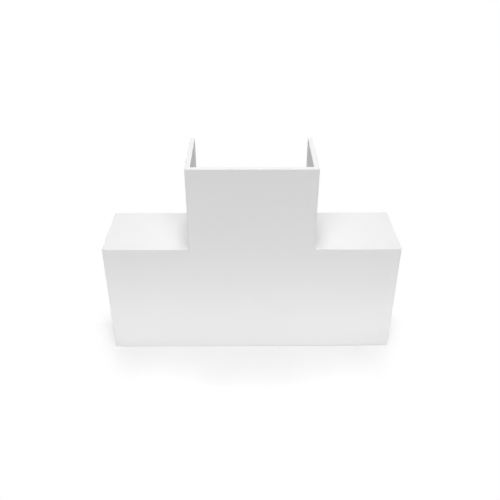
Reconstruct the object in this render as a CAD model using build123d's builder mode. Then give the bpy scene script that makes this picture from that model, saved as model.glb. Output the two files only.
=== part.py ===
from build123d import *
import os

# Flat tee cover for 40 x 25 mm mini trunking: one white PVC moulding.
# It is an open-backed shell. A T-shaped front plate carries walls along its
# long sides, and the three mouths and the whole back are open, so that it
# slips over the trunking where a branch leaves a straight run.
#
# Frame: X along the run, front plate facing -Y, +Z along the branch.
# The origin is at the bottom centre of the part's box. Millimetres.

# What the fitting covers
trunking_width = 40.0
trunking_depth = 25.0
slip_clearance = 0.25

# The moulding
wall = 1.75
arm_reach = 30.5
core_draft = 0.3

# Edges and corners
face_edge_radius = 0.3
rim_edge_radius = 0.15
outer_corner_radius = 0.3
inner_corner_radius = 1.0
root_radius = 0.5

# Sizes that follow
run_height = trunking_width + 2 * (slip_clearance + wall)
branch_width = run_height
depth = trunking_depth + slip_clearance + wall
run_length = branch_width + 2 * arm_reach
total_height = run_height + arm_reach
plate_front = -depth / 2
plate_back = plate_front + wall
back_rim = depth / 2

# The core runs past every mouth and past the back, so that all four stay open
overrun = 5.0


def t_profile(front, run, low, high, branch, top, corner):
    """T-shaped face at a depth: a run with a branch rising from its middle."""
    with BuildSketch(Plane.XZ.offset(-front)) as profile:
        with Locations((0, low)):
            Rectangle(run, high - low, align=(Align.CENTER, Align.MIN))
            Rectangle(branch, top - low, align=(Align.CENTER, Align.MIN))
        fillet(profile.vertices().group_by(Axis.Y)[1].sort_by(Axis.X)[1:3], corner)
    return profile.sketch


def is_mouth_corner(edge):
    """True for an outer edge that runs front to back at the end of an arm."""
    middle = edge.center()
    at_run_end = abs(abs(middle.X) - run_length / 2) < 0.001
    at_branch_end = abs(middle.Z - total_height) < 0.001
    at_outer_wall = min(abs(middle.Z), abs(middle.Z - run_height)) < 0.001
    at_branch_side = abs(abs(middle.X) - branch_width / 2) < 0.001
    return (at_run_end and at_outer_wall) or (at_branch_end and at_branch_side)


# Core: the space inside, wider at the open back than at the front plate
with BuildPart() as core:
    nose = t_profile(
        plate_back,
        run_length + 2 * overrun,
        wall,
        run_height - wall,
        branch_width - 2 * wall,
        total_height + overrun,
        inner_corner_radius,
    )
    extrude(nose, amount=-(back_rim - plate_back + overrun))
    core_sides = core.faces().filter_by(lambda face: abs(face.normal_at().Y) < 0.5)
    draft(core_sides, Plane.XZ.offset(-plate_back), core_draft)
    fillet(core.faces().sort_by(Axis.Y)[0].edges(), root_radius)

# Tee shell: the outer block less the core, with its edges eased
with BuildPart() as tee_shell:
    outline = t_profile(
        plate_front,
        run_length,
        0,
        run_height,
        branch_width,
        total_height,
        outer_corner_radius,
    )
    extrude(outline, amount=-depth)
    face_edges = tee_shell.faces().sort_by(Axis.Y)[0].edges()
    mouth_corners = tee_shell.edges().filter_by(Axis.Y).filter_by(is_mouth_corner)
    fillet(face_edges + mouth_corners, face_edge_radius)
    add(core.part, mode=Mode.SUBTRACT)

    # The rims lie where the two halves of the mould part, so they stay almost sharp
    across = tee_shell.faces().group_by(Axis.X)
    rims = across[0] + across[-1]
    rims += tee_shell.faces().group_by(Axis.Z)[-1]
    rims += tee_shell.faces().group_by(Axis.Y)[-1]
    fillet(rims.edges(), rim_edge_radius)

tee_shell.part.label = "tee_shell"

os.makedirs("parts", exist_ok=True)
export_step(tee_shell.part, "parts/tee_shell.step")
print("tee_shell", tee_shell.part.bounding_box(), round(tee_shell.part.volume, 1), "mm3")
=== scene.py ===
# %% [markdown]
# This lesson makes a flat tee cover for mini trunking. The real one is a
# single white PVC moulding that slips over the place where a branch of
# trunking leaves a straight run. It is a thin shell: a T-shaped front plate
# with walls along its long sides, open at the back and at its three mouths.
# Its packed model gives the size and place of everything, so that is loaded first, and the sizes
# are read from its box.

from math import radians, tan

import bpy
from mathutils import Euler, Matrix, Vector


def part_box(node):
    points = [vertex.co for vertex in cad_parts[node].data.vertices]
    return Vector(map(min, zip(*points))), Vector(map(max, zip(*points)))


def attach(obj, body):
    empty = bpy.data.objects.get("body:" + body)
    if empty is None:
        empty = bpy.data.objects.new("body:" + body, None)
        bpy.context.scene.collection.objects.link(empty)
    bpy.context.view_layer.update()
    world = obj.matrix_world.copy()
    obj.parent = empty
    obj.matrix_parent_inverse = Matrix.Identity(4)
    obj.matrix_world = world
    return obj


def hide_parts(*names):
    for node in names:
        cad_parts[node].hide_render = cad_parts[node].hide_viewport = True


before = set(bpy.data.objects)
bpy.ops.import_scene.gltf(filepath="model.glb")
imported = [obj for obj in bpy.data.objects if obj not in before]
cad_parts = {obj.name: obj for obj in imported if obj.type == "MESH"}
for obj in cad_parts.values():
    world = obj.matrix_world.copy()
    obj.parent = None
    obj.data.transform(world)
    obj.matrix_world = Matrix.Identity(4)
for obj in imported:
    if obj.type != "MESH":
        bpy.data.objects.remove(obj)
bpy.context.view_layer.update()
low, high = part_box("tee_shell")
run_length, depth, total_height = high - low
print("run length, depth and height in mm:", [round(1000 * side, 2) for side in high - low])

# %% [markdown]
# The camera comes next, because every finish is judged through it. It could
# be placed by eye, but the picture looks down from close by, and the way that
# the run's ends and the branch's sides lean towards each other fixes it far
# better. The camera that fits the corners of the picture stands 0.18 m in
# front of the plate and looks 32 degrees down. Its focal length is given for
# Blender's usual 36 mm sensor.

# %% Camera
CAMERA_AT = Vector((-0.0018, -0.1966, 0.1572))
CAMERA_DOWN = radians(31.78)
CAMERA_TURN = radians(0.355)
LENS_MM = 44.33
NEAREST_SEEN = 0.01

camera_data = bpy.data.cameras.new("camera")
camera_data.lens = LENS_MM
camera_data.clip_start = NEAREST_SEEN
camera = bpy.data.objects.new("camera", camera_data)
camera.location = CAMERA_AT
camera.rotation_euler = Euler((radians(90) - CAMERA_DOWN, 0, -CAMERA_TURN))
bpy.context.scene.collection.objects.link(camera)
bpy.context.scene.camera = camera
print("camera is", round(-depth / 2 - CAMERA_AT.y, 3), "m in front of the plate")

# %% [markdown]
# The cover could be modelled by hand with loop cuts, or cut from a block with
# a boolean. But its shape follows a rule, so Geometry Nodes can make it, and
# each size can still be changed in one place. The rule is that every wall is
# as thick as the plate and stands on the edge of the T. It needs only these
# sizes, in metres. The three arms reach equally far, so the width of the run,
# which is also the width of the branch, follows from the box.

# %% Sizes of the moulding
WALL = 0.00175
CORE_DRAFT = radians(0.3)
ARM_REACH = 0.0305
FACE_EDGE = 0.0003
RIM_EDGE = 0.00015
ROOT_FILLET = 0.0005
INNER_CORNER = 0.001
BEVEL_STEPS = 4

run_height = total_height - ARM_REACH
branch_width = run_length - 2 * ARM_REACH
draft_opening = (depth - WALL) * tan(CORE_DRAFT)
print("run height in mm:", round(1000 * run_height, 2))
print("branch width in mm:", round(1000 * branch_width, 2))

# %% [markdown]
# The shape and the finish are both made by node trees. A tree could be built
# by hand in the editor, but then it couldn't be read or repeated, and written
# out line by line it soon becomes unreadable. So a small wrapper gives it short
# words. The first two add a node with its inputs joined, and join one input.


# %% Short words: nodes and links
class Wiring:
    """A node tree, with words that add nodes and join them."""

    def __init__(self, tree):
        self.tree = tree

    def join(self, value, socket):
        """Links a socket to an input, or sets the input to a plain value."""
        if isinstance(value, bpy.types.NodeSocket):
            self.tree.links.new(value, socket)
        else:
            socket.default_value = value

    def add(self, kind, settings=None, **inputs):
        """Adds a node. Inputs are named in lower case, with _ for a space."""
        made = self.tree.nodes.new(kind)
        for name, value in (settings or {}).items():
            setattr(made, name, value)
        for name, value in inputs.items():
            wanted = name.replace("_", " ")
            socket = next(s for s in made.inputs if s.enabled and s.name.lower() == wanted)
            self.join(value, socket)
        return made


print("words for nodes:", [word for word in vars(Wiring) if word[0] != "_"])

# %% [markdown]
# A node tree has no "if". A test is a number instead, 1 where it holds and 0
# where it doesn't, so two tests are joined by multiplying them, and a choice
# is a sum in which one side is multiplied by 0.


# %% Short words: numbers and tests
class Sums(Wiring):
    """Words for numbers. Each returns a socket that the next can use."""

    def math(self, operation, *values):
        """A number worked out from one, two or three others."""
        made = self.add("ShaderNodeMath", {"operation": operation})
        for value, socket in zip(values, made.inputs):
            self.join(value, socket)
        return made.outputs[0]

    def half(self, number):
        return self.math("MULTIPLY", number, 0.5)

    def minus(self, number):
        return self.math("MULTIPLY", number, -1.0)

    def above(self, a, b):
        return self.math("GREATER_THAN", a, b)

    def near(self, a, b, reach):
        return self.math("COMPARE", a, b, reach)

    def isnt(self, test):
        return self.math("SUBTRACT", 1.0, test)

    def either(self, first, *others):
        """1 where at least one of the tests holds, and else 0."""
        for test in others:
            first = self.math("MAXIMUM", first, test)
        return first

    def both(self, first, *others):
        """1 where all of the tests hold, and else 0."""
        for test in others:
            first = self.math("MULTIPLY", first, test)
        return first

    def pick(self, test, yes, no):
        """One of two numbers, chosen by a test."""
        return self.math("MULTIPLY_ADD", test, yes, self.math("MULTIPLY", self.isnt(test), no))


print("words for numbers and tests:", [word for word in vars(Sums) if word[0] != "_"])

# %% [markdown]
# The last words are for vectors, for picking from a list, and for the named
# inputs and outputs that a group shows to whoever uses it. Names matter here,
# because the sizes of the part come in by them.


# %% Short words: vectors, lists and groups
class Tree(Sums):
    """A node tree that is built with short words."""

    def vector(self, x, y, z):
        return self.add("ShaderNodeCombineXYZ", x=x, y=y, z=z).outputs[0]

    def parts(self, vector):
        return self.add("ShaderNodeSeparateXYZ", vector=vector).outputs

    def switch(self, index, values):
        """The value that stands at a whole-number index in a list."""
        made = self.add("GeometryNodeIndexSwitch", {"data_type": "FLOAT"}, index=index)
        while len(made.index_switch_items) < len(values):
            made.index_switch_items.new()
        for place, value in enumerate(values):
            self.join(value, made.inputs[str(place)])
        return made.outputs[0]

    def named_input(self, name, kind="NodeSocketFloat"):
        """Adds a named input to a group and returns it as a socket inside."""
        self.tree.interface.new_socket(name, in_out="INPUT", socket_type=kind)
        return self.tree.nodes["Group Input"].outputs[name]

    def named_output(self, name, kind, value):
        """Adds a named output to a group and joins a socket to it."""
        self.tree.interface.new_socket(name, in_out="OUTPUT", socket_type=kind)
        self.join(value, self.tree.nodes["Group Output"].inputs[name])


print("words for vectors, lists and groups:", [word for word in vars(Tree) if word[0] != "_"])

# %% [markdown]
# A group needs its two end nodes. A tree that a modifier runs also needs a
# geometry at each end, and the modifier takes its values by the identifiers
# of the inputs, which Blender makes up, and not by their names.


# %% New groups and modifiers
def new_group(name, kind):
    """A node group of a kind, with its two end nodes, in the wrapper."""
    group = bpy.data.node_groups.new(name, kind)
    group.nodes.new("NodeGroupInput")
    group.nodes.new("NodeGroupOutput")
    return Tree(group)


def geometry_tree(name):
    """A tree that a modifier can run, with the shape that it is given."""
    made = new_group(name, "GeometryNodeTree")
    made.tree.is_modifier = True
    made.given_shape = made.named_input("Geometry", "NodeSocketGeometry")
    return made


def geometry_modifier(piece, name, tree, values):
    """Puts a tree on a piece, its named inputs set by their identifiers."""
    modifier = piece.modifiers.new(name, "NODES")
    modifier.node_group = tree.tree
    for item in tree.tree.interface.items_tree:
        if item.in_out == "INPUT" and item.name in values:
            modifier[item.identifier] = values[item.name]
    print(name, "runs on", piece.name, "with", len(values), "named inputs")


print("helpers:", [helper.__name__ for helper in (new_group, geometry_tree, geometry_modifier)])

# %% [markdown]
# Covers for narrower and wider trunking differ only in a few sizes. They could
# be numbers in the tree, but as named inputs they show in the modifier, where
# each can be tried. The lines of the plan follow from them: the edges of the T
# and, one wall further in, the edges of the hollow.

# %% Tree: sizes of the shell
shell_tree = geometry_tree("tee_shell_rule")
size = {
    name: shell_tree.named_input(name)
    for name in (
        "Run Length",
        "Run Height",
        "Branch Width",
        "Total Height",
        "Depth",
        "Wall",
        "Draft Opening",
        "Face Edge",
        "Rim Edge",
        "Root Fillet",
        "Inner Corner",
    )
}
half_run = shell_tree.half(size["Run Length"])
half_branch = shell_tree.half(size["Branch Width"])
half_depth = shell_tree.half(size["Depth"])
half_hollow = shell_tree.math("SUBTRACT", half_branch, size["Wall"])
hollow_top = shell_tree.math("SUBTRACT", size["Run Height"], size["Wall"])
plate_front = shell_tree.minus(half_depth)
plate_back = shell_tree.math("ADD", plate_front, size["Wall"])
print("the shell's tree has", len(size), "sizes")

# %% [markdown]
# The plan is a grid of six columns and five rows of points. A plain grid has
# even steps, so an Index Switch gives each column its real X and each row its
# real Z. The two corners above the run's arms are then deleted, which leaves
# the T.

# %% Tree: the plan of the T
COLUMNS = 6
ROWS = 5


def step_index(coordinate, steps):
    """Whole-number index of a point in a row of evenly spaced ones."""
    counted = shell_tree.add(
        "FunctionNodeFloatToInt",
        {"rounding_mode": "ROUND"},
        float=shell_tree.math("ADD", coordinate, (steps - 1) / 2),
    )
    return counted.outputs[0]


grid = shell_tree.add(
    "GeometryNodeMeshGrid",
    size_x=COLUMNS - 1.0,
    size_y=ROWS - 1.0,
    vertices_x=COLUMNS,
    vertices_y=ROWS,
)
step_x, step_y, _ = shell_tree.parts(shell_tree.add("GeometryNodeInputPosition").outputs[0])
rights = [half_hollow, half_branch, half_run]
lefts = [shell_tree.minus(right) for right in reversed(rights)]
heights = [0.0, size["Wall"], hollow_top, size["Run Height"], size["Total Height"]]
plan_place = shell_tree.vector(
    shell_tree.switch(step_index(step_x, COLUMNS), lefts + rights),
    plate_front,
    shell_tree.switch(step_index(step_y, ROWS), heights),
)
full_plan = shell_tree.add("GeometryNodeSetPosition", geometry=grid.outputs[0], position=plan_place)

x, y, z = shell_tree.parts(shell_tree.add("GeometryNodeInputPosition").outputs[0])
across = shell_tree.math("ABSOLUTE", x)
plan = shell_tree.add(
    "GeometryNodeDeleteGeometry",
    {"domain": "FACE"},
    geometry=full_plan.outputs[0],
    selection=shell_tree.both(
        shell_tree.above(across, half_branch), shell_tree.above(z, size["Run Height"])
    ),
)
print("plan of the T:", COLUMNS, "columns and", ROWS, "rows of points")

# %% [markdown]
# A flat plan becomes a shell by Solidify or by extruding. Solidify would make
# every part equally deep, so the plan is extruded, and twice. First all of it
# goes back by one wall, which makes the plate. Then only the cells that lie
# under a wall go on to the back of the part. A turned copy is extruded, so
# that its new faces look out of the solid, and the plan itself closes the
# front.

# %% Tree: plate and walls
WELD = 1e-6

turned = shell_tree.add("GeometryNodeFlipFaces", mesh=plan.outputs[0])
backwards = shell_tree.vector(0.0, 1.0, 0.0)
plate = shell_tree.add(
    "GeometryNodeExtrudeMesh",
    mesh=turned.outputs[0],
    offset=backwards,
    offset_scale=size["Wall"],
    individual=False,
)
in_bottom_wall = shell_tree.above(size["Wall"], z)
in_upper_wall = shell_tree.both(
    shell_tree.above(z, hollow_top), shell_tree.above(across, half_hollow)
)
under_wall = shell_tree.both(
    plate.outputs["Top"], shell_tree.either(in_bottom_wall, in_upper_wall)
)
walls = shell_tree.add(
    "GeometryNodeExtrudeMesh",
    mesh=plate.outputs["Mesh"],
    selection=under_wall,
    offset=backwards,
    offset_scale=shell_tree.math("SUBTRACT", size["Depth"], size["Wall"]),
    individual=False,
)
both_halves = shell_tree.add("GeometryNodeJoinGeometry")
shell_tree.join(plan.outputs[0], both_halves.inputs[0])
shell_tree.join(walls.outputs["Mesh"], both_halves.inputs[0])
solid = shell_tree.add(
    "GeometryNodeMergeByDistance", geometry=both_halves.outputs[0], distance=WELD
)
print("walls rise", round(1000 * (depth - WALL), 2), "mm from the plate")

# %% [markdown]
# A moulding has to slide off the steel core that forms its inside, so the
# hollow is a little wider at the open back than at the plate. The points of
# the back rim that border the hollow move outwards by that much. A point
# counts as lying on a line when it is closer than a fiftieth of a millimetre.

# %% Tree: draft on the inner walls
CLOSE = 2e-5

at_back = shell_tree.near(y, half_depth, CLOSE)
opening = shell_tree.math("MULTIPLY", size["Draft Opening"], at_back)
outwards = shell_tree.both(shell_tree.math("SIGN", x), shell_tree.near(across, half_hollow, CLOSE))
upwards = shell_tree.math(
    "SUBTRACT",
    shell_tree.near(z, hollow_top, CLOSE),
    shell_tree.near(z, size["Wall"], CLOSE),
)
draft_move = shell_tree.vector(
    shell_tree.math("MULTIPLY", opening, outwards),
    0.0,
    shell_tree.math("MULTIPLY", opening, upwards),
)
drafted = shell_tree.add("GeometryNodeSetPosition", geometry=solid.outputs[0], offset=draft_move)
print("the draft opens each side by", round(1000 * draft_opening, 3), "mm")

# %% [markdown]
# Every edge of the moulding is slightly round, but not all alike. So the tree
# first finds out what an edge is, from where its middle lies. A root is where
# a wall leaves the plate, and an inner corner is where the run's upper wall
# turns up into the branch. The corner's middle has moved with the draft, so it
# is looked for in a wider band. The edges of the outside are those that show.

# %% Tree: which edge is which
DRIFT = 2e-4
SMALLEST_BEND = radians(20)

angles = shell_tree.add("GeometryNodeInputMeshEdgeAngle").outputs
is_edge = shell_tree.above(angles["Unsigned Angle"], SMALLEST_BEND)
is_hollow_edge = shell_tree.above(0.0, angles["Signed Angle"])
is_root = shell_tree.both(is_hollow_edge, shell_tree.near(y, plate_back, CLOSE))
is_inner_corner = shell_tree.both(
    shell_tree.near(across, half_hollow, DRIFT), shell_tree.near(z, hollow_top, DRIFT)
)
on_shoulder = shell_tree.both(
    shell_tree.near(z, size["Run Height"], CLOSE), shell_tree.above(across, half_hollow)
)
on_branch_side = shell_tree.both(
    shell_tree.near(across, half_branch, CLOSE), shell_tree.above(z, hollow_top)
)
is_outside = shell_tree.either(
    shell_tree.near(y, plate_front, CLOSE),
    shell_tree.near(z, 0.0, CLOSE),
    on_shoulder,
    on_branch_side,
)
is_face_edge = shell_tree.both(is_outside, shell_tree.isnt(at_back))
print("the shell's tree has", len(shell_tree.tree.nodes), "nodes so far")

# %% [markdown]
# The rounding could be drawn as geometry, but the Bevel modifier does it well,
# and it can give each edge its own width when the edge carries a weight. The
# tree writes that weight. The widest round is the inner corner at 1 mm, which
# is weight 1. The edges of the front plate are far sharper, and the rims,
# where the two halves of the mould meet, sharper yet.

# %% Tree: a width for every edge
edge_width = shell_tree.pick(is_face_edge, size["Face Edge"], size["Rim Edge"])
edge_width = shell_tree.pick(is_inner_corner, size["Inner Corner"], edge_width)
edge_width = shell_tree.pick(is_root, size["Root Fillet"], edge_width)
weight = shell_tree.math("DIVIDE", edge_width, size["Inner Corner"])
weighted = shell_tree.add(
    "GeometryNodeStoreNamedAttribute",
    {"data_type": "FLOAT", "domain": "EDGE"},
    geometry=drafted.outputs[0],
    name="bevel_weight_edge",
    value=shell_tree.math("MULTIPLY", weight, is_edge),
)
print("rounds in mm: inner corner", 1000 * INNER_CORNER, "root", 1000 * ROOT_FILLET)
print("rounds in mm: face edge", round(1000 * FACE_EDGE, 2), "rim", round(1000 * RIM_EDGE, 2))

# %% [markdown]
# The mould has two sides, and each leaves its own finish. The steel cavity
# shapes the outside and has a fine even texture. The core shapes the hollow,
# which nobody sees once the cover is on, so it is only smoothed with a stone.
# One material could tell the two apart by place, but two materials on two
# sets of faces are easier to read and to change. They are made empty here, and
# get their nodes when the shape is finished.

# %% Tree: two finishes
face_finish = bpy.data.materials.new("white_pvc_textured")
core_finish = bpy.data.materials.new("white_pvc_stoned")

on_end = shell_tree.either(
    shell_tree.near(across, half_run, CLOSE), shell_tree.near(z, size["Total Height"], CLOSE)
)
in_hollow = shell_tree.isnt(shell_tree.either(is_outside, at_back, on_end))
realized = shell_tree.add("GeometryNodeRealizeInstances", geometry=weighted.outputs[0])
outside = shell_tree.add(
    "GeometryNodeSetMaterial",
    geometry=realized.outputs[0],
    material=shell_tree.named_input("Outside Finish", "NodeSocketMaterial"),
)
inside = shell_tree.add(
    "GeometryNodeSetMaterial",
    geometry=outside.outputs[0],
    selection=in_hollow,
    material=shell_tree.named_input("Inside Finish", "NodeSocketMaterial"),
)
shell_tree.named_output("Geometry", "NodeSocketGeometry", inside.outputs[0])
print("the shell's tree is done, with", len(shell_tree.tree.nodes), "nodes")

# %% [markdown]
# The tree runs as a modifier on an empty mesh, with this part's own sizes.
# The Bevel modifier comes after it. Its clamp is off, because it would shrink
# every round to suit the narrowest face, and here all of them have room.

# %% Make the shell
tee_moulding = bpy.data.objects.new("tee_moulding", bpy.data.meshes.new("tee_moulding"))
bpy.context.scene.collection.objects.link(tee_moulding)
geometry_modifier(
    tee_moulding,
    "rule",
    shell_tree,
    {
        "Run Length": run_length,
        "Run Height": run_height,
        "Branch Width": branch_width,
        "Total Height": total_height,
        "Depth": depth,
        "Wall": WALL,
        "Draft Opening": draft_opening,
        "Face Edge": FACE_EDGE,
        "Rim Edge": RIM_EDGE,
        "Root Fillet": ROOT_FILLET,
        "Inner Corner": INNER_CORNER,
        "Outside Finish": face_finish,
        "Inside Finish": core_finish,
    },
)
rounding = tee_moulding.modifiers.new("rounding", "BEVEL")
rounding.limit_method = "WEIGHT"
rounding.width = INNER_CORNER
rounding.segments = BEVEL_STEPS
rounding.use_clamp_overlap = False
print("modifiers:", [modifier.name for modifier in tee_moulding.modifiers])

# %% [markdown]
# Steel pins push the cooled part off its core, and each leaves a shallow
# round mark inside the plate, where nobody looks. The marks could be painted
# on with bump, but then they would be missing from the mesh. They repeat, so
# a second tree places them: in pairs along the run, and one pair near the
# branch's mouth.

# %% Tree: places of the ejector pins
PIN_DIAMETER = 0.003
PIN_MARK_DEEP = 0.0001
PIN_PAIR_APART = 0.026
PIN_FROM_MOUTH = 0.008
PAIRS_ALONG_RUN = 4

pin_tree = geometry_tree("ejector_pin_marks")
pin = {
    name: pin_tree.named_input(name)
    for name in (
        "Diameter",
        "Deep",
        "Apart",
        "From Mouth",
        "Run Length",
        "Run Height",
        "Total Height",
    )
}
pin_pairs = pin_tree.named_input("Pairs", "NodeSocketInt")
plate_at = pin_tree.named_input("Plate At")

first_pair = pin_tree.math("SUBTRACT", pin["From Mouth"], pin_tree.half(pin["Run Length"]))
pitch = pin_tree.math(
    "DIVIDE", pin_tree.math("MULTIPLY", first_pair, -2.0), pin_tree.math("SUBTRACT", pin_pairs, 1.0)
)
half_apart = pin_tree.half(pin["Apart"])
middle = pin_tree.half(pin["Run Height"])
branch_pair_height = pin_tree.math("SUBTRACT", pin["Total Height"], pin["From Mouth"])


def pin_row(count, start_x, height, step):
    """A row of points behind the plate, side by side at one height."""
    return pin_tree.add(
        "GeometryNodeMeshLine",
        count=count,
        start_location=pin_tree.vector(start_x, plate_at, height),
        offset=pin_tree.vector(step, 0.0, 0.0),
    ).outputs[0]


places = pin_tree.add("GeometryNodeJoinGeometry")
for row in (
    pin_row(pin_pairs, first_pair, pin_tree.math("SUBTRACT", middle, half_apart), pitch),
    pin_row(pin_pairs, first_pair, pin_tree.math("ADD", middle, half_apart), pitch),
    pin_row(2, pin_tree.minus(half_apart), branch_pair_height, pin["Apart"]),
):
    pin_tree.join(row, places.inputs[0])
print("ejector pins:", 2 * PAIRS_ALONG_RUN + 2)

# %% [markdown]
# A short cylinder on each place is cut from the shell. Its faces are captured
# as the mark before the cut, because afterwards nothing else tells the new
# faces from the old. Edges that bend sharply are marked sharp, so that the
# rest can be shaded smooth. The tree ends by making every instance real and
# giving the marks their finish.

# %% Tree: the marks
PIN_SIDES = 48
SHARP_FROM = radians(40)

pin_shape = pin_tree.add(
    "GeometryNodeMeshCylinder",
    vertices=PIN_SIDES,
    radius=pin_tree.half(pin["Diameter"]),
    depth=pin_tree.math("MULTIPLY", pin["Deep"], 2.0),
)
captured = pin_tree.add(
    "GeometryNodeCaptureAttribute", {"domain": "FACE"}, geometry=pin_shape.outputs[0]
)
captured.capture_items.new("BOOLEAN", "Mark")
pin_tree.join(True, captured.inputs["Mark"])
lying_pin = pin_tree.add(
    "GeometryNodeTransform", geometry=captured.outputs["Geometry"], rotation=(radians(90), 0, 0)
)
pins = pin_tree.add(
    "GeometryNodeInstanceOnPoints", points=places.outputs[0], instance=lying_pin.outputs[0]
)
marked = pin_tree.add("GeometryNodeMeshBoolean", {"operation": "DIFFERENCE", "solver": "EXACT"})
pin_tree.join(pin_tree.given_shape, marked.inputs["Mesh 1"])
pin_tree.join(pins.outputs[0], marked.inputs["Mesh 2"])
smooth = pin_tree.add("GeometryNodeSetShadeSmooth", geometry=marked.outputs[0], shade_smooth=True)
bend = pin_tree.add("GeometryNodeInputMeshEdgeAngle").outputs["Unsigned Angle"]
shaded = pin_tree.add(
    "GeometryNodeSetShadeSmooth",
    {"domain": "EDGE"},
    geometry=smooth.outputs[0],
    selection=pin_tree.above(bend, SHARP_FROM),
    shade_smooth=False,
)
finished = pin_tree.add(
    "GeometryNodeSetMaterial",
    geometry=pin_tree.add("GeometryNodeRealizeInstances", geometry=shaded.outputs[0]).outputs[0],
    selection=captured.outputs["Mark"],
    material=pin_tree.named_input("Inside Finish", "NodeSocketMaterial"),
)
pin_tree.named_output("Geometry", "NodeSocketGeometry", finished.outputs[0])
print("the pins' tree is done, with", len(pin_tree.tree.nodes), "nodes")

# %% [markdown]
# This tree comes after the bevel, so that it cuts the rounded shell. Weighted
# Normal goes last. It lets the large flat faces set the shading, so that they
# look flat right up to the small rounds beside them.

# %% Mark the shell
geometry_modifier(
    tee_moulding,
    "ejector_marks",
    pin_tree,
    {
        "Diameter": PIN_DIAMETER,
        "Deep": PIN_MARK_DEEP,
        "Apart": PIN_PAIR_APART,
        "From Mouth": PIN_FROM_MOUTH,
        "Run Length": run_length,
        "Run Height": run_height,
        "Total Height": total_height,
        "Pairs": PAIRS_ALONG_RUN,
        "Plate At": WALL - depth / 2,
        "Inside Finish": core_finish,
    },
)
shading = tee_moulding.modifiers.new("shading", "WEIGHTED_NORMAL")
shading.keep_sharp = True
print("modifiers:", [modifier.name for modifier in tee_moulding.modifiers])

# %% [markdown]
# The export wants a plain mesh with nothing left to work out. Applying the
# modifiers one by one would do, but asking the evaluated object for its mesh
# gives the same in one step. Then the modifiers go. The first material slot
# belonged to the empty mesh and has nothing in it, so it goes too.

# %% Bake the shell to a plain mesh
depsgraph = bpy.context.evaluated_depsgraph_get()
baked = bpy.data.meshes.new_from_object(tee_moulding.evaluated_get(depsgraph))
baked.name = "tee_moulding"
tee_moulding.modifiers.clear()
tee_moulding.data = baked
baked.materials.pop(index=0)
finish_faces = [0] * len(baked.materials)
for face in baked.polygons:
    finish_faces[face.material_index] += 1
print("shell:", len(baked.vertices), "vertices,", len(baked.polygons), "faces")
print("faces of each finish:", dict(zip([finish.name for finish in baked.materials], finish_faces)))

# %% [markdown]
# Rigid PVC is filled with white pigment, so it is an opaque, neutral white
# that reflects about 85 % of the light. What keeps it from looking like paper
# is its skin. Under a low light the outside shows an even grain, a quarter of
# a millimetre across, and a very slow change in gloss where the melt flowed.
# Both could be painted, but noise that is read at the place on the part needs
# no picture and is sharp from any distance. Both finishes want it, so it is
# one node group, and each finish uses it with its own values.

# %% Shader group: moulded skin
GRAIN_DETAIL = 2.0
FLOW_DETAIL = 3.0
NOISE_SPAN = (0.3, 0.7)

skin = new_group("moulded_skin", "ShaderNodeTree")
place = skin.named_input("Place", "NodeSocketVector")
grain = skin.add(
    "ShaderNodeTexNoise",
    vector=place,
    scale=skin.named_input("Grain Per Metre"),
    detail=GRAIN_DETAIL,
).outputs[0]
flow = skin.add(
    "ShaderNodeTexNoise",
    vector=place,
    scale=skin.named_input("Flow Per Metre"),
    detail=FLOW_DETAIL,
).outputs[0]
tint = skin.add(
    "ShaderNodeMix",
    {"data_type": "RGBA"},
    factor=flow,
    a=skin.named_input("Thin Tint", "NodeSocketColor"),
    b=skin.named_input("Thick Tint", "NodeSocketColor"),
)
gloss = skin.add(
    "ShaderNodeMapRange",
    value=flow,
    from_min=NOISE_SPAN[0],
    from_max=NOISE_SPAN[1],
    to_min=skin.named_input("Low Roughness"),
    to_max=skin.named_input("High Roughness"),
)
blended = next(socket for socket in tint.outputs if socket.enabled)
skin.named_output("Color", "NodeSocketColor", blended)
skin.named_output("Roughness", "NodeSocketFloat", gloss.outputs["Result"])
skin.named_output("Height", "NodeSocketFloat", grain)
skin_sockets = skin.tree.interface.items_tree
print("moulded_skin gives", [item.name for item in skin_sockets if item.in_out == "OUTPUT"])

# %% [markdown]
# A finish is a Principled BSDF in its own material, fed by the group. The
# grain goes through a Bump node, whose distance is its real depth. A number
# that is the same all over, such as the refractive index of PVC, is set on
# the shader itself.

# %% Finish of the outside
PVC_IOR = 1.53
THIN_TINT = (0.845, 0.845, 0.845, 1.0)
THICK_TINT = (0.86, 0.86, 0.86, 1.0)
GRAINS_PER_METRE = 4000.0
FLOWS_PER_METRE = 45.0
OUTSIDE_ROUGHNESS = (0.46, 0.54)
TEXTURE_DEPTH = 0.000012


def start_finish(material):
    """Empties a material and gives it a Principled BSDF that is shown."""
    material.use_nodes = True
    tree = Tree(material.node_tree)
    tree.tree.nodes.clear()
    shader = tree.add("ShaderNodeBsdfPrincipled", ior=PVC_IOR)
    shown = tree.add("ShaderNodeOutputMaterial")
    tree.join(shader.outputs[0], shown.inputs["Surface"])
    return tree, shader


def add_skin(tree, here, roughness):
    """The moulded skin at a place on the part, between two values of gloss."""
    return tree.add(
        "ShaderNodeGroup",
        {"node_tree": skin.tree},
        place=here,
        grain_per_metre=GRAINS_PER_METRE,
        flow_per_metre=FLOWS_PER_METRE,
        thin_tint=THIN_TINT,
        thick_tint=THICK_TINT,
        low_roughness=roughness[0],
        high_roughness=roughness[1],
    ).outputs


face_tree, face_shader = start_finish(face_finish)
on_face = face_tree.add("ShaderNodeTexCoord").outputs["Object"]
face_skin = add_skin(face_tree, on_face, OUTSIDE_ROUGHNESS)
texture = face_tree.add(
    "ShaderNodeBump", strength=1.0, distance=TEXTURE_DEPTH, height=face_skin["Height"]
)
face_tree.join(face_skin["Color"], face_shader.inputs["Base Color"])
face_tree.join(face_skin["Roughness"], face_shader.inputs["Roughness"])
face_tree.join(texture.outputs["Normal"], face_shader.inputs["Normal"])
print(face_finish.name, "has a grain", round(1000 * TEXTURE_DEPTH, 3), "mm deep")

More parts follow.
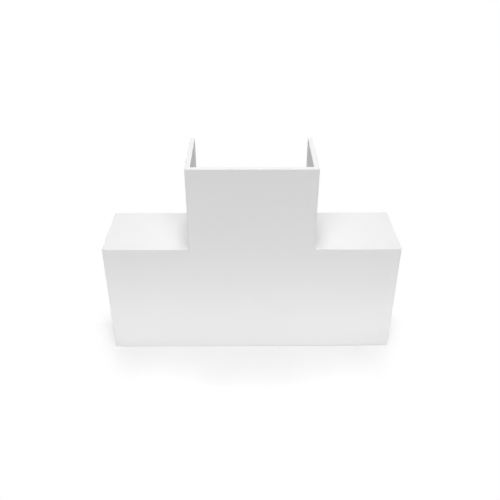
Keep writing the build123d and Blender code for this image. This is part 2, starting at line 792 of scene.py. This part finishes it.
# %% [markdown]
# The core was smoothed by hand with a coarse stone, along the draw on its
# sides and along the run on its nose. So the hollow is about as matt as the
# outside, but it has the stone's lines in place of the grain. They could be
# modelled as grooves, but they are far too fine, so they are a noise that is
# stretched many times along the stroke. The way that a face looks says which
# stroke it had: the inside of the plate looks back, and the walls don't.

# %% Finish of the hollow
HOLLOW_ROUGHNESS = (0.44, 0.52)
STROKES_PER_METRE = 5000.0
STROKE_STRETCH = 0.02
STROKE_DETAIL = 1.0
STROKE_DEPTH = 0.000008
LOOKS_BACK = 0.7

core_tree, core_shader = start_finish(core_finish)
in_core = core_tree.add("ShaderNodeTexCoord").outputs["Object"]
core_skin = add_skin(core_tree, in_core, HOLLOW_ROUGHNESS)


def strokes(stretch):
    """Lines of the stone along the axis whose scale is small."""
    stretched = core_tree.add("ShaderNodeMapping", vector=in_core, scale=stretch)
    return core_tree.add(
        "ShaderNodeTexNoise",
        vector=stretched.outputs[0],
        scale=STROKES_PER_METRE,
        detail=STROKE_DETAIL,
    ).outputs[0]


facing = core_tree.parts(core_tree.add("ShaderNodeNewGeometry").outputs["Normal"])
on_nose = core_tree.above(core_tree.math("ABSOLUTE", facing["Y"]), LOOKS_BACK)
line_height = core_tree.pick(
    on_nose, strokes((STROKE_STRETCH, 1, 1)), strokes((1, STROKE_STRETCH, 1))
)
stone_marks = core_tree.add(
    "ShaderNodeBump", strength=1.0, distance=STROKE_DEPTH, height=line_height
)
core_tree.join(core_skin["Color"], core_shader.inputs["Base Color"])
core_tree.join(core_skin["Roughness"], core_shader.inputs["Roughness"])
core_tree.join(stone_marks.outputs["Normal"], core_shader.inputs["Normal"])
print(core_finish.name, "has lines", round(1000 / STROKES_PER_METRE, 2), "mm apart")

# %% [markdown]
# The part stands on a white studio floor. A real one is a sheet of paper that
# curves up behind the part, so that no horizon shows. Here one large square is
# enough, because the next step hides its far edge. It lies a hair below the
# part, so that the two never share a plane.

# %% Floor
FLOOR_SIDE = 6.0
FLOOR_GAP = 0.00002

half_side = FLOOR_SIDE / 2
floor_mesh = bpy.data.meshes.new("studio_floor")
floor_mesh.from_pydata(
    [(a * half_side, b * half_side, -FLOOR_GAP) for a, b in ((-1, -1), (1, -1), (1, 1), (-1, 1))],
    [],
    [(0, 1, 2, 3)],
)
studio_floor = bpy.data.objects.new("studio_floor", floor_mesh)
bpy.context.scene.collection.objects.link(studio_floor)
print("floor is", FLOOR_SIDE, "m wide")

# %% [markdown]
# Near the part the floor is an ordinary matt white surface, so that it takes
# the soft shadow and throws light back up the front plate. Further out it has
# to look plain white, with no horizon. Brighter lamps would do that, but they
# would burn out the white of the part too. So the rays of the camera and of
# gloss are told to see white there, and the light on the part stays as it is.
# The shadow is bowl-shaped. It is deepest in front of the middle, and towards
# the run's ends the white comes closer. So one of the two distances that
# decide it grows both to the side and to the front.

# %% Floor and background
FLOOR_WHITE = (0.945, 0.945, 0.945, 1.0)
PLAIN_WHITE = (1.0, 1.0, 1.0, 1.0)
WHITE_BESIDE = (0.046, 0.065)
WHITE_IN_FRONT = (0.031, 0.048)
BOWL_SLOPE = 0.4
SHADOW_LEANS = 0.001

floor_paint = bpy.data.materials.new("matt_white_floor")
floor_mesh.materials.append(floor_paint)
floor_paint.use_nodes = True
floor_tree = Tree(floor_paint.node_tree)
floor_tree.tree.nodes.clear()
on_floor = floor_tree.parts(floor_tree.add("ShaderNodeTexCoord").outputs["Object"])


def shadow_left(distance, start_and_end):
    """1 at the part, falling to 0 where the floor is to look plain white."""
    return floor_tree.add(
        "ShaderNodeMapRange",
        {"interpolation_type": "SMOOTHSTEP"},
        value=distance,
        from_min=start_and_end[0],
        from_max=start_and_end[1],
        to_min=1.0,
        to_max=0.0,
    ).outputs["Result"]


def is_looked_at(tree):
    """1 for rays of the camera, gloss and glass, 0 for rays that carry light."""
    ray = tree.add("ShaderNodeLightPath").outputs
    return tree.either(ray["Is Camera Ray"], ray["Is Glossy Ray"], ray["Is Transmission Ray"])


def show_by(tree, test, no, yes, output):
    """Shows one of two shaders, chosen by a test."""
    mixed = tree.add("ShaderNodeMixShader")
    for value, socket in zip((test, no.outputs[0], yes.outputs[0]), mixed.inputs):
        tree.join(value, socket)
    tree.join(mixed.outputs[0], tree.add(output).inputs["Surface"])


to_side = floor_tree.math("ABSOLUTE", floor_tree.math("ADD", on_floor["X"], SHADOW_LEANS))
to_front = floor_tree.math("ABSOLUTE", on_floor["Y"])
round_corner = floor_tree.math("MULTIPLY_ADD", to_front, BOWL_SLOPE, to_side)
shadow = floor_tree.both(
    shadow_left(round_corner, WHITE_BESIDE), shadow_left(to_front, WHITE_IN_FRONT)
)
show_by(
    floor_tree,
    floor_tree.both(is_looked_at(floor_tree), floor_tree.isnt(shadow)),
    floor_tree.add("ShaderNodeBsdfDiffuse", color=FLOOR_WHITE),
    floor_tree.add("ShaderNodeEmission", color=PLAIN_WHITE, strength=1.0),
    "ShaderNodeOutputMaterial",
)
print("floor is plain white from", round(1000 * WHITE_IN_FRONT[1]), "mm in front of the middle")

# %% [markdown]
# The room does the same. It is white to the camera and to gloss, and gives
# everything else only a weak even light. The Standard view shows a colour as
# it is written, so that the white of the part can be compared with the white
# of the background.

# %% Room and view
ROOM_LIGHT = 0.035

world = bpy.data.worlds.new("white_room")
bpy.context.scene.world = world
world.use_nodes = True
room_tree = Tree(world.node_tree)
room_tree.tree.nodes.clear()
show_by(
    room_tree,
    is_looked_at(room_tree),
    room_tree.add("ShaderNodeBackground", color=PLAIN_WHITE, strength=ROOM_LIGHT),
    room_tree.add("ShaderNodeBackground", color=PLAIN_WHITE, strength=1.0),
    "ShaderNodeOutputWorld",
)
bpy.context.scene.view_settings.view_transform = "Standard"
print("the room lights with", ROOM_LIGHT, "and shows as 1")

# %% [markdown]
# One lamp straight above would leave the front plate dark. Two soft boxes
# hang over the part instead, one behind it for the shoulders and one in front
# for the plate. What makes the plate brighter towards the floor is a low card
# that stands just in front. It is hidden from the camera and from gloss, so
# that only its light is seen.


# %% Light
def soft_box(name, at, width, height, watts, aim):
    """A rectangular area light that faces a point, hidden from the camera."""
    lamp = bpy.data.lights.new(name, "AREA")
    lamp.shape = "RECTANGLE"
    lamp.size = width
    lamp.size_y = height
    lamp.energy = watts
    box = bpy.data.objects.new(name, lamp)
    box.location = at
    box.rotation_euler = (Vector(aim) - Vector(at)).to_track_quat("-Z", "Y").to_euler()
    box.visible_camera = False
    bpy.context.scene.collection.objects.link(box)
    return box


CARD_HEIGHT = 0.003

soft_box(
    "back_soft_box", at=(0.002, 0.226, 0.83), width=0.28, height=0.4, watts=2.92, aim=(0, 0, 0)
)
soft_box(
    "front_soft_box",
    at=(0, -0.325, 0.637),
    width=0.58,
    height=0.6,
    watts=3.48,
    aim=(0, 0, total_height / 2),
)
card = soft_box(
    "low_front_card",
    at=(0, -0.05, CARD_HEIGHT),
    width=0.4,
    height=0.005,
    watts=0.0191,
    aim=(0, 0, CARD_HEIGHT),
)
card.visible_glossy = False
print("lamps:", [(lamp.name, round(lamp.energy, 4)) for lamp in bpy.data.lights])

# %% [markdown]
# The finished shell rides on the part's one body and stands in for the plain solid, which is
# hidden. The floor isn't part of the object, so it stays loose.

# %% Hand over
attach(tee_moulding, "root")
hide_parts("tee_shell")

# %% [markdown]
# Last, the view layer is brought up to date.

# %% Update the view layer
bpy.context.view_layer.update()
